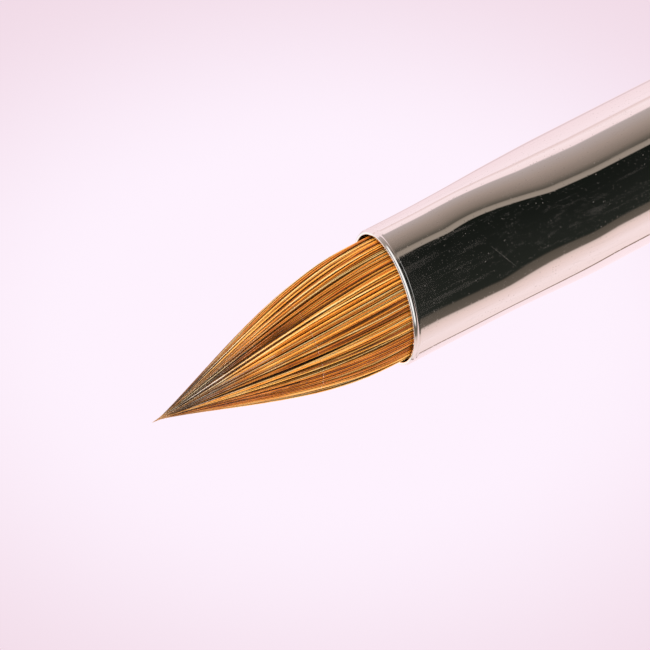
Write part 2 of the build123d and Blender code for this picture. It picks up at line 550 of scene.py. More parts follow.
@dataclass(frozen=True)
class StainedBirch:
    """Birch, turned and stained red brown under clear gloss lacquer.

    The stain sits darker in the pores and the latewood, and the lacquer lays one sharp reflection
    over them.
    """

    pale: str = "#8A3A1E"
    deep: str = "#5A1F12"
    pore: str = "#2A0F0A"
    ring_spacing: float = 1.5 * MM
    pore_length: float = 1.8 * MM
    pore_width: float = 0.12 * MM

    def material(self) -> Material:
        """Builds the lacquered wood's material.

        Returns:
            The material.
        """
        material, tree, coords = start_material("stained_birch_gloss_lacquer")
        heart = add_node(tree, "Mapping", {"Vector": coords, "Location": (0.0, 11 * MM, 7 * MM),
            "Rotation": (0.0, 0.02, 0.035)})
        rings = add_node(tree, "TexWave", {"Vector": heart, "Scale": 0.314 / self.ring_spacing,
            "Distortion": 1.6, "Detail": 3.0, "Detail Scale": 0.35}, wave_type="RINGS", rings_direction="X",
            wave_profile="SAW")
        stops = ((0.0, self.pale), (0.72, self.deep), (1.0, self.deep))
        grain = add_node(tree, "ValToRGB", {"Fac": rings.outputs["Fac"]}, stops=stops)
        stretch = (self.pore_width / self.pore_length, 1.0, 1.0)
        drawn = add_node(tree, "Mapping", {"Vector": coords, "Scale": stretch})
        pores = add_node(tree, "TexNoise", {"Vector": drawn, "Scale": 1 / (2 * self.pore_width),
            "Detail": 2.0, "Roughness": 0.6})
        pore = add_node(tree, "MapRange", {"Value": pores.outputs["Fac"], "From Min": 0.57, "From Max": 0.68,
            "To Max": 0.8})
        colour = add_node(tree, "Mix", {0: pore, 6: grain, 7: linear(self.pore)}, data_type="RGBA")
        bump = add_node(tree, "Bump", {"Strength": 0.12, "Distance": 0.02 * MM,
            "Height": pores.outputs["Fac"]})
        return end_material(material, "BsdfPrincipled", {"Base Color": colour, "Roughness": 0.38, "IOR": 1.5,
            "Coat Weight": 1.0, "Coat Roughness": 0.05, "Normal": bump})


@dataclass(frozen=True)
class WaxedLinen:
    """Waxed linen thread: two pale plies with a low sheen, and painted shade in the grooves between them."""

    ply: str = "#D9D0B4"
    # Colour of the painted shade in the grooves between the plies
    groove: str = "#8C8062"
    lay: float = 0.3 * MM

    def material(self) -> Material:
        """Builds the thread's material.

        Returns:
            The material.
        """
        material, tree, coords = start_material("waxed_linen_thread")
        twist = add_node(tree, "TexWave", {"Vector": coords, "Scale": 0.314 / self.lay, "Distortion": 1.0},
            bands_direction="DIAGONAL")
        stops = ((0.1, self.groove), (0.6, self.ply))
        colour = add_node(tree, "ValToRGB", {"Fac": twist.outputs["Fac"]}, stops=stops)
        return end_material(material, "BsdfPrincipled", {"Base Color": colour, "Roughness": 0.6})


@dataclass(frozen=True)
class SetResin:
    """Clear resin, poured and set: glossy amber with darker clouds where it soaked the hair or wood."""

    name: str
    clear: str
    cloud: str

    def material(self) -> Material:
        """Builds the resin's material.

        Returns:
            The material.
        """
        material, tree, coords = start_material(self.name)
        clouds = add_node(tree, "TexNoise", {"Vector": coords, "Scale": 900.0, "Detail": 3.0})
        stops = ((0.35, self.cloud), (0.65, self.clear))
        colour = add_node(tree, "ValToRGB", {"Fac": clouds.outputs["Fac"]}, stops=stops)
        return end_material(material, "BsdfPrincipled", {"Base Color": colour, "Roughness": 0.12, "IOR": 1.53,
            "Coat Weight": 0.4})


# ---- Sub-assemblies ----


@dataclass
class Ferrule:
    """The plated tube: oval at its mouth, round at the back, with two crimped rings."""

    layout: Layout  # The brush's axes
    half_wide: float = 3.32 * MM  # Half width of the mouth along the oval's long axis, outside
    half_thin: float = 2.33 * MM  # Half width of the mouth across the flats, outside
    barrel: float = 3.48 * MM  # Radius of the round barrel
    wall: float = 0.2 * MM  # Thickness of the tube
    press_start: float = 4.4 * MM  # Station where the pressed flats begin to fade
    press_step: float = 9.4 * MM  # Station where the first quick part of the fade ends
    press_end: float = 11.3 * MM  # Station where the tube is round
    press_share: float = 0.4  # Share of the fade that is quick
    # How much sooner that part comes at the upper end of the oval, and later at the lower
    press_skew: float = 1.6 * MM
    press_twist: float = -3.5  # How far the press turned the flats on their way back, in degrees
    twist_span: tuple[float, float] = (1.4 * MM, 5.0 * MM)  # Stations where that turn begins and ends
    slant: float = 5.5  # Angle at which the mouth is cut, in degrees
    crimps: tuple[float, float] = (23.0 * MM, 26.5 * MM)  # Stations of the two rings
    crimp_width: float = 1.8 * MM  # Width of a ring
    crimp_depth: float = 0.24 * MM  # Depth of a ring
    lip_roll: float = 0.05 * MM  # Radius that buffing left on the two edges of the cut
    lip_length: float = 0.6 * MM  # Length of the burnished lip
    groove_place: float = 0.26 * MM  # Station of the shallow groove in the lip
    groove_width: float = 0.045 * MM  # Its half width
    groove_depth: float = 0.026 * MM  # Its depth
    bevel: float = 0.085 * MM  # Length of the filed bevel outside the cut, along the brush
    bevel_slope: float = 0.55  # Its slope
    columns: int = 256  # Points round the tube

    def crimp_dip(self, s: Array) -> Array:
        """How far the rings are pressed in: a raised cosine over each ring's width, and 0 elsewhere.

        Args:
            s: Stations.

        Returns:
            Depths.
        """
        across = [np.clip((s - ring) / self.crimp_width, -0.5, 0.5) for ring in self.crimps]
        return np.sum([self.crimp_depth * 0.5 * (1 + np.cos(part * FULL_TURN)) for part in across], axis=0)

    def half_widths(self, s: Array, angle: Array) -> tuple[Array, Array]:
        """The oval's two half widths, outside: the mouth's, fading into the barrel's, less the rings.

        Args:
            s: Stations.
            angle: Angles round the oval, from its upper end.

        Returns:
            Half widths along the oval's long axis and across its flats.
        """
        skewed = s + self.press_skew * np.cos(angle)
        quick = smoothstep(skewed, self.press_start, self.press_step)
        slow = smoothstep(s, self.press_start, self.press_end)
        pressed = 1 - self.press_share * quick - (1 - self.press_share) * slow
        dip = self.crimp_dip(s)
        wide = self.barrel - (self.barrel - self.half_wide) * pressed - dip
        thin = self.barrel - (self.barrel - self.half_thin) * pressed - dip
        return wide, thin

    def profile(self) -> tuple[Array, Array]:
        """The wall's closed outline, as stations and how far each point lies inside the outer face.

        It runs back along the outside, round the rear edge, forward along the inside and round the
        mouth. The mouth is a flat cut between a quarter round inside and, outside, an eighth of a
        turn that leads into a filed bevel. A shallow burnished groove, a bell curve in depth, runs
        round just behind it.

        Returns:
            Stations and insets.
        """
        roll, end = self.lip_roll, self.layout.ferrule_end
        turn = np.linspace(0, math.pi / 2, 6)
        rise, fall = roll * (1 - np.sin(turn)), roll * (1 - np.cos(turn))
        near = np.linspace(roll, self.lip_length, 45)[1:]
        groove = self.groove_depth * np.exp(-(((near - self.groove_place) / self.groove_width) ** 2))
        outside = np.linspace(self.lip_length, end - roll, 150)[1:-1]
        inside = np.linspace(end - roll, roll, 90)[1:-1]
        stations = [fall, near, outside, end - rise, end - fall[1:], inside, rise]
        bore = np.full(len(inside), self.wall)
        insets = [rise, groove, 0 * outside, fall, self.wall - rise[1:], bore, self.wall - fall]
        s, inset = np.concatenate(stations), np.concatenate(insets)
        filed = self.bevel_slope * np.maximum(roll + self.bevel - np.maximum(s, roll), 0)
        return s, np.where(inset < self.wall / 2, inset + filed, inset)

    def build(self) -> Piece:
        """Makes the tube, dresses it and lets it stand for its CAD node.

        A point at station s and angle a is at wide = (W - i) cos a and thin = (T - i) sin a, where W
        and T are the half widths and i is the inset, and the section is turned by the twist. Near the
        mouth it moves along the brush by the tangent of the slant times wide, so that the cut lies in
        one slanting plane.

        Returns:
            The tube.
        """
        s, inset = self.profile()
        angle = around(self.columns)
        half_wide, half_thin = self.half_widths(s[:, None], angle)
        wide = (half_wide - inset[:, None]) * np.cos(angle)
        thin = (half_thin - inset[:, None]) * np.sin(angle)
        twist = math.radians(self.press_twist) * smoothstep(s, *self.twist_span)[:, None]
        wide, thin = wide * np.cos(twist) - thin * np.sin(twist), wide * np.sin(twist) + thin * np.cos(twist)
        slanted = 1 - smoothstep(s, self.lip_length, self.press_start)
        shifted = s[:, None] + slanted[:, None] * math.tan(math.radians(self.slant)) * wide
        piece = make_rings("ferrule_tube", self.layout.place(shifted, wide, thin), tube=True)
        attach(piece, Body.BRUSH.value)
        settle(piece, PolishedNickel(self.layout).material(), "ferrule")
        return piece


@dataclass
class Strands:
    """Every hair of one layer, as arrays with one number for each hair."""

    angle: Array  # Where it stands round the oval at the mouth
    depth: Array  # How far it lies inside the tuft's outline, as a share of the half width
    radius: Array  # Radius at the mouth
    end: Array  # Station of its own point
    tone: Array  # Shade, from 0, brown, to 1, pale gold, with painted shade on deep hairs and painted light at the lower end of the oval
    dark_from: Array  # Station where it begins to darken
    darkest: Array  # How dark it grows
    sway: Array  # How far it wanders round the tuft, in radians
    phase: Array  # Where in its wandering it starts
    pull: Array  # How strongly it is drawn to its clump's middle


@dataclass
class Tuft:
    """The plump pointed tuft: three layers of single hairs over a core of packed hair."""

    layout: Layout  # The brush's axes
    half_wide: float = 2.97 * MM  # Half width of the hair at the mouth along the oval's long axis
    half_thin: float = 2.04 * MM  # Half width there across the flats
    power: float = 1.12  # Fullness of the tuft's outline
    # How far the point hangs from the axis, along the long axis and across the flats
    hang: tuple[float, float] = (-0.15 * MM, 0.030 * MM)
    sunk: float = 1.8 * MM  # How far the hairs reach into the ferrule
    blend_lead: float = 0.4 * MM  # Hair ahead of the mouth that doesn't bend
    layer_counts: tuple[int, ...] = (204, 190, 176)  # Hairs in each layer, from the outside
    # Mean depth of each layer, as a share of the half width
    layer_depths: tuple[float, ...] = (0.010, 0.042, 0.085)
    hair_radius: float = 0.043 * MM  # Mean radius of a hair at the mouth
    thinning: float = 0.24  # Power of the tuft's section that a hair's radius follows
    place_scatter: float = 0.42  # How far a hair strays from its even place, as a share of their spacing
    rank_scatter: float = 0.14  # How far its rank among the shades strays
    deep_tone_shade_painted: float = 1.2  # Painted shade: how much lower the tone is for a depth of one half width
    short_share: float = 0.60  # Share of the hairs that end early
    dark_start: float = 0.70  # Share of the way out at which the hairs begin to darken
    dark_side: float = 0.17  # How much sooner they do on one side
    dark_angle: float = 0.28  # Where that side is
    darkening: float = 3.0 * MM  # Length over which a hair grows dark
    # Shares of the way out between which the points grow paler with wear
    worn_span: tuple[float, float] = (0.93, 0.985)
    dark_depth: float = 0.11  # Depth at which the painted shade is full, as a share of the half width
    most_shade_painted: float = 0.6  # How dark the painted shade is there
    # Cosines, from the outward way, between which a side of a hair goes from painted shade to painted light
    open_sides: tuple[float, float] = (0.35, 0.97)
    side_light_painted: float = 0.10  # Painted light left on the sides of a hair, as a share of what its front gets
    # Shares of the hairs, from the darkest to the palest
    tone_ranks: tuple[float, ...] = (0.0, 0.11, 0.16, 0.80, 0.86, 1.0)
    tones: tuple[float, ...] = (0.06, 0.20, 0.42, 0.76, 0.90, 1.0)  # Shades at those shares
    soot: float = 0.22  # How much darker the hairs of one sooty lock are
    soot_angle: float = 2.25  # Where that lock lies round the tuft
    soot_width: float = 0.16  # Its half width, in radians
    lower_edge_light_painted: float = 0.34  # Painted light: how much paler the hairs at the lower end of the oval are, where light from below falls
    point_run: float = 3.2 * MM  # Length over which a hair thins to its own point
    point_radius: float = 0.004 * MM  # Radius at a hair's point
    clumps: int = 44  # Clumps round the tuft
    # Waves round the tuft and their height, as a share of the half width
    ridges: tuple[tuple[int, float], ...] = ((11, 0.010), (23, 0.014), (37, 0.012))
    core_scale: float = 0.875  # Half width of the core, as a share of the tuft's
    core_reach: float = 0.965  # How far out the core goes, as a share of the way to the point
    waist: float = 2.55 * MM  # Radius of the root under the thread
    draw_in: float = 5.0 * MM  # Station where the thread begins to draw the root in
    waist_start: float = 8.2 * MM  # Station where that waist begins
    root_end: float = 11.3 * MM  # Station of the root's blunt end
    core_grid: tuple[int, int] = (30, 96)  # Rings of each length of the core, and points in each
    root_grid: tuple[int, int] = (40, 96)  # The same for the root
    sides: int = 6  # Sides of a hair's tube
    # Places of a hair's rings on each length. Two lie close to the cut, so that both lengths have the same
    # slope there and shade as one.
    ring_shares: dict[Body, tuple[float, ...]] = field(default_factory=lambda: {
        Body.BELLY: (0.0, 0.01, 0.1, 0.2, 0.3, 0.4, 0.5, 0.6, 0.7, 1.0),
        Body.POINT: (0.0, 0.06, 0.16, 0.28, 0.4, 0.52, 0.64, 0.76, 0.88, 0.99, 1.0),
    })
    seed: int = 8  # Seed of the random draws
    hair: SableHair = field(default_factory=SableHair)
    packed: PackedHair = field(default_factory=PackedHair)

    @property
    def cut(self) -> float:
        """Station of the plane between the two lengths, where one bend ends and the next starts."""
        return 2 * self.layout.press + self.blend_lead

    def travel(self, s: Array) -> Array:
        """Share of the way from the mouth to the point."""
        return np.clip(s / self.layout.tip, 0, 1)

    def half_widths(self, s: Array) -> tuple[Array, Array]:
        """The outline: the sine of a quarter turn times a power of the way left to the point.

        The oval of the mouth grows round in step with that way.

        Args:
            s: Stations.

        Returns:
            Half widths along the oval's long axis and across its flats.
        """
        left = 1 - self.travel(s)
        wide = self.half_wide * np.sin(math.pi / 2 * left**self.power)
        return wide, wide * (1 + (self.half_thin / self.half_wide - 1) * left)

    def points(self, s: Array, angle: Array, share: Array) -> tuple[Array, Array]:
        """Offsets of points on an oval inside the outline.

        Args:
            s: Stations.
            angle: Angles round the oval.
            share: Sizes of the oval, as shares of the outline.

        Returns:
            Offsets along the oval's long axis and across its flats.
        """
        half_wide, half_thin = self.half_widths(s)
        hanging = self.travel(s) ** 1.5
        wide = self.hang[0] * hanging + share * half_wide * np.cos(angle)
        thin = self.hang[1] * hanging + share * half_thin * np.sin(angle)
        return wide, thin

    def draw_layer(self, rng: np.random.Generator, count: int, depth: float) -> Strands:
        """Draws the hairs of one layer.

        Neighbours differ in shade, because the ranks of the shades step round by the golden ratio.

        Args:
            rng: Source of the random draws.
            count: Number of hairs.
            depth: Mean depth of the layer.

        Returns:
            The hairs.
        """
        out = self.layout.tip
        place, rank_scatter = self.place_scatter, self.rank_scatter
        angle = FULL_TURN * (np.arange(count) + rng.uniform(-place, place, count)) / count
        rank = (GOLDEN * np.arange(count) + rng.uniform(-rank_scatter, rank_scatter, count)) % 1
        # Painted shade: deeper hairs get a lower tone
        tone = np.interp(rank, self.tone_ranks, self.tones) - self.deep_tone_shade_painted * depth
        tone = tone - self.soot * np.exp(-(((angle - self.soot_angle) / self.soot_width) ** 2))
        # Painted light from below: hairs at the lower end of the oval get a paler tone
        tone = tone + self.lower_edge_light_painted * np.minimum(np.cos(angle), 0) ** 8
        sooner = self.dark_side * np.clip(np.cos(angle - self.dark_angle), -0.5, 1)
        short = rng.uniform(size=count) < self.short_share
        short_end = out * (0.97 - 0.47 * rng.uniform(size=count) ** 1.5)
        end = np.where(short, short_end, out * rng.uniform(0.965, 1.018, count))
        return Strands(
            angle=angle,
            depth=depth + rng.uniform(-0.016, 0.028, count),
            radius=self.hair_radius * rng.uniform(0.78, 1.2, count) * np.where(rank > 0.85, 0.8, 1.0),
            end=end,
            tone=np.clip(tone, 0, 1),
            dark_from=out * (self.dark_start - sooner + 0.07 * rng.normal(size=count)),
            darkest=np.clip(rng.uniform(0.2, 1.6, count), 0, 1),
            sway=0.05 * rng.normal(size=count),
            phase=rng.uniform(0, FULL_TURN, count),
            pull=rng.uniform(0.15, 0.65, count),
        )

    def centre_lines(self, hairs: Strands, s: Array, ridge_phases: Array) -> tuple[Array, Array]:
        """The hairs' middle lines.

        A hair keeps its angle round the oval, sways a little about it, and is drawn to the middle of
        its clump. Its depth follows ridges that run along the tuft, which are sums of sines round it.

        Args:
            hairs: The hairs.
            s: Stations, one row for each hair.
            ridge_phases: Phase of each ridge wave.

        Returns:
            Offsets along the oval's long axis and across its flats.
        """
        travel = self.travel(s)
        clump = np.round(hairs.angle * self.clumps / FULL_TURN) * FULL_TURN / self.clumps
        drawn = (hairs.pull * (clump - hairs.angle))[:, None] * smoothstep(travel, 0.0, 0.55)
        angle = hairs.angle[:, None] + drawn
        angle = angle + hairs.sway[:, None] * travel * np.sin(3 * travel + hairs.phase[:, None])
        ridge = sum(
            height * np.sin(waves * angle + phase + 2 * travel)
            for (waves, height), phase in zip(self.ridges, ridge_phases)
        )
        share = 1 - hairs.depth[:, None] - ridge * smoothstep(travel, 0.0, 0.2)
        return self.points(s, angle, share)

    def tubes(self, name: str, layers: list[Strands], side: Body, ridge_phases: Array) -> Piece:
        """Makes one length of every hair: rings square to the brush round each middle line.

        A hair's radius follows a quarter power of the tuft's section, because the hairs thin together,
        and the square root of the way left to its own point. Its first side faces outwards, along the
        gradient of the oval's equation, and painted shade darkens it where its sides turn away from
        that and where it is deep.

        Args:
            name: Name of the piece.
            layers: The hairs.
            side: Which length.
            ridge_phases: Phase of each ridge wave.

        Returns:
            The piece.
        """
        hairs = Strands(**{
            label: np.concatenate([getattr(layer, label) for layer in layers]) for label in vars(layers[0])
        })
        share = np.array(self.ring_shares[side])
        count, rows = len(hairs.angle), len(share)
        if side is Body.BELLY:
            s = np.broadcast_to(self.cut + (self.sunk - self.cut) * share, (count, rows))
        else:
            s = hairs.end[:, None] + (self.cut - hairs.end)[:, None] * share
        wide, thin = self.centre_lines(hairs, s, ridge_phases)
        half_wide, half_thin = self.half_widths(s)
        section = half_wide * half_thin / (self.half_wide * self.half_thin)
        left = np.clip((s - hairs.end[:, None]) / self.point_run, 0, 1)
        radius = np.maximum(hairs.radius[:, None] * section**self.thinning * np.sqrt(left), self.point_radius)
        out_wide = wide / np.maximum(half_wide, self.point_radius) ** 2
        out_thin = thin / np.maximum(half_thin, self.point_radius) ** 2
        side_turn = around(self.sides)
        turn = side_turn + np.arctan2(out_thin, out_wide)[..., None]
        points = self.layout.place(
            s[..., None], wide[..., None] + radius[..., None] * np.cos(turn),
            thin[..., None] + radius[..., None] * np.sin(turn),
        )
        first = np.arange(count)[:, None, None] * rows * self.sides
        walls = (grid_faces(rows, self.sides) + first).reshape(-1, 4)
        caps = (end_caps(rows, self.sides) + first).reshape(-1, self.sides)
        on_all = np.ones((1, 1, self.sides))
        begin = -hairs.dark_from[:, None]
        dark = hairs.darkest[:, None] * smoothstep(-s, begin, begin + self.darkening)
        worn = 0.8 * smoothstep(self.travel(s), *self.worn_span)
        # Painted shade: the sides of a hair that turn from the outward way, and deep hairs, are painted dark
        # brown; hairs that stand out keep painted light on their sides
        exposed = np.clip((0.015 - hairs.depth) / 0.02, 0, 1)[:, None, None]
        sides_painted_lit = smoothstep(np.cos(side_turn) + exposed, *self.open_sides)
        sides_painted_lit = self.side_light_painted + (1 - self.side_light_painted) * sides_painted_lit
        depth_shade_painted = self.most_shade_painted * np.clip(hairs.depth / self.dark_depth, 0, 1)[:, None, None]
        values = {
            "tone": hairs.tone[:, None, None] * np.ones((1, rows, 1)) * on_all,
            "dark": dark[..., None] * on_all,
            "worn": worn[..., None] * on_all,
            "shut": (1 - (1 - depth_shade_painted) * sides_painted_lit) * (1 - worn[..., None]),
        }
        return make_piece(name, points, walls, caps, values)

    def core(self, name: str, start: float, end: float) -> Piece:
        """Makes one length of the core: ovals at a fixed share of the outline.

        Args:
            name: Name of the piece.
            start: Station nearer the point.
            end: Station nearer the handle.

        Returns:
            The piece.
        """
        rows, columns = self.core_grid
        s = np.linspace(start, end, rows)[:, None]
        wide, thin = self.points(s, around(columns), np.array(self.core_scale))
        return make_rings(name, self.layout.place(s, wide, thin))

    def root(self, name: str) -> Piece:
        """Makes the hair held in the ferrule: the core's oval, drawn in to a round waist by the thread.

        Args:
            name: Name of the piece.

        Returns:
            The piece.
        """
        rows, columns = self.root_grid
        s = np.linspace(self.sunk, self.root_end, rows)[:, None]
        angle = around(columns)
        bound = smoothstep(s, self.draw_in, self.waist_start)
        half_wide, half_thin = (self.core_scale * half for half in (self.half_wide, self.half_thin))
        wide = (half_wide + (self.waist - half_wide) * bound) * np.cos(angle)
        thin = (half_thin + (self.waist - half_thin) * bound) * np.sin(angle)
        return make_rings(name, self.layout.place(s, wide, thin))

    def build(self) -> list[Piece]:
        """Makes the hair and its core on both sides of the cut.

        Returns:
            The pieces.
        """
        rng = np.random.default_rng(self.seed)
        layers = [self.draw_layer(rng, n, depth) for n, depth in zip(self.layer_counts, self.layer_depths)]
        ridge_phases = rng.uniform(0, FULL_TURN, len(self.ridges))
        first_bend = (self.layout.at(-self.blend_lead), self.layout.at(self.cut))
        second_bend = (self.layout.at(self.cut), self.layout.at(2 * self.layout.sweep - self.cut))
        core_tip = self.core_reach * self.layout.tip
        lengths = {
            Body.BELLY: (self.cut, self.sunk, Body.BRUSH, Body.BELLY, first_bend, "tuft_belly"),
            Body.POINT: (core_tip, self.cut, Body.BELLY, Body.POINT, second_bend, "tuft_point"),
        }
        hair_material, core_material = self.hair.material(), self.packed.material()
        pieces = []
        for side, (start, end, near, far, bend, node) in lengths.items():
            hairs = self.tubes(f"{side.value}_hairs", layers, side, ridge_phases)
            core = self.core(f"{side.value}_core", start, end)
            for piece, material, stands_for in ((hairs, hair_material, node), (core, core_material, None)):
                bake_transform(piece)
                settle(piece, material, stands_for)
                pieces.append(piece)
        root = self.root("root_hair")
        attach(root, Body.BRUSH.value)
        settle(root, core_material, "tuft_root")
        return [*pieces, root]


@dataclass
class Handle:
    """The turned handle: a tenon in the ferrule, a swell with six planed flats, and a thin end."""

    layout: Layout  # The brush's axes
    ferrule: Ferrule  # The tube that the tenon fills
    tenon_start: float = 17.0 * MM  # Station of the tenon's front
    tenon_radius: float = 3.18 * MM  # Radius of the tenon
    tenon_chamfer: float = 0.6 * MM  # Chamfer at its front
    shoulder_gap: float = 0.05 * MM  # Gap between the ferrule and the shoulder
    shoulder: float = 3.62 * MM  # Radius just behind the ferrule
    shoulder_flare: float = 0.09  # Slope there
    grip_radius: float = 4.4 * MM  # Radius of the swell
    grip_start: float = 44.0 * MM  # Station where the swell is full
    grip_end: float = 78.0 * MM  # Station where it begins to thin
    flat: float = 4.05 * MM  # Distance from the axis to a flat
    edge_softness: float = 0.035 * MM  # How far sanding has rounded the edges between the flats
    butt_radius: float = 2.0 * MM  # Radius of the thin end
    butt_length: float = 12.0 * MM  # Length of the parallel thin end
    end_round: float = 1.2 * MM  # Length of its rounded end
    columns: int = 144  # Points round the handle
    finish: StainedBirch = field(default_factory=StainedBirch)

    def profile(self) -> tuple[Array, Array]:
        """The turned outline from the tenon to the thin end.

        The neck is a cubic that leaves the shoulder at its flare and meets the swell level, and the
        taper is a smooth step between two level ends. The end is a quarter of an ellipse.

        Returns:
            Stations and radii.
        """
        shoulder_at = self.layout.ferrule_end + self.shoulder_gap
        butt_start = self.layout.handle_end - self.butt_length
        tenon = np.linspace(self.tenon_start + self.tenon_chamfer, self.layout.ferrule_end, 60)
        neck = np.linspace(0, 1, 26)
        neck_run = self.grip_start - shoulder_at
        neck_radius = (
            self.shoulder + (self.grip_radius - self.shoulder) * (3 * neck**2 - 2 * neck**3)
            + self.shoulder_flare * neck_run * (neck**3 - 2 * neck**2 + neck)
        )
        grip = np.linspace(self.grip_start, self.grip_end, 20)[1:]
        taper = np.linspace(self.grip_end, butt_start, 60)[1:]
        thinned = smoothstep(taper, self.grip_end, butt_start)
        butt = np.array([self.layout.handle_end - self.end_round])
        turn = np.linspace(0, 0.995 * math.pi / 2, 14)[1:]
        stations = [
            np.array([self.tenon_start]), tenon, np.array([shoulder_at]), shoulder_at + neck_run * neck, grip,
            taper, butt, butt + self.end_round * np.sin(turn),
        ]
        radii = [
            np.array([self.tenon_radius - self.tenon_chamfer]),
            self.tenon_radius - self.ferrule.crimp_dip(tenon),
            np.array([self.tenon_radius]),
            neck_radius,
            np.full(len(grip), self.grip_radius),
            self.grip_radius + (self.butt_radius - self.grip_radius) * thinned,
            np.array([self.butt_radius]),
            self.butt_radius * np.cos(turn),
        ]
        return np.concatenate(stations), np.concatenate(radii)

    def build(self) -> Piece:
        """Makes the handle, dresses it and lets it stand for its CAD node.

        Its radius at each angle is the smaller of the turned radius and the distance to the nearest
        flat. The smaller is taken softly, as minus the logarithm of a sum of exponentials, which
        rounds the edges between the flats as sanding does.

        Returns:
            The handle.
        """
        s, radius = self.profile()
        angle = around(self.columns)
        sixth = FULL_TURN / 6
        from_flat = (angle + math.pi / 2 + sixth / 2) % sixth - sixth / 2
        planed = self.flat / np.cos(from_flat)
        soft = self.edge_softness
        radius = radius[:, None]
        least = np.minimum(radius, planed)
        excess = np.exp(-(radius - least) / soft) + np.exp(-(planed - least) / soft)
        radius = least - soft * np.log(excess)
        x = np.broadcast_to(s[:, None] + self.layout.mouth[0], radius.shape)
        y = self.layout.mouth[1] + radius * np.cos(angle)
        z = self.layout.mouth[2] + radius * np.sin(angle)
        piece = make_rings("handle_body", np.stack([x, y, z], axis=-1))
        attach(piece, Body.BRUSH.value)
        settle(piece, self.finish.material(), "handle")
        return piece


@dataclass
class InnerParts:
    """What the ferrule hides: the thread and the cement of the root, and the handle's glue."""

    finishes: dict[str, Any] = field(default_factory=lambda: {
        "binding_thread": WaxedLinen(),
        "root_cement": SetResin("set_amber_cement", clear="#9A642A", cloud="#6A3E16"),
        "handle_glue": SetResin("set_clear_glue", clear="#CDB078", cloud="#A88A54"),
    })

    def dress(self) -> None:
        """Gives each CAD node its own finish."""
        for node, finish in self.finishes.items():
            piece = frame["nodes"][node]
            wear(piece, finish.material())
            report(piece)


# ---- Studio ----


def stand(name: str, data: bpy.types.ID, axes: tuple[Array, Array, Array], place: Array) -> Piece:
    """Puts a camera or a light in the scene.

    Args:
        name: Its name.
        data: The camera or light.
        axes: Its right, up and backward directions.
        place: Where it stands.

    Returns:
        The object.
    """
    thing = bpy.data.objects.new(name, data)
    bpy.context.scene.collection.objects.link(thing)
    turned = np.eye(4)
    turned[:3] = np.column_stack([*axes, place])
    thing.matrix_world = Matrix(turned)
    return thing


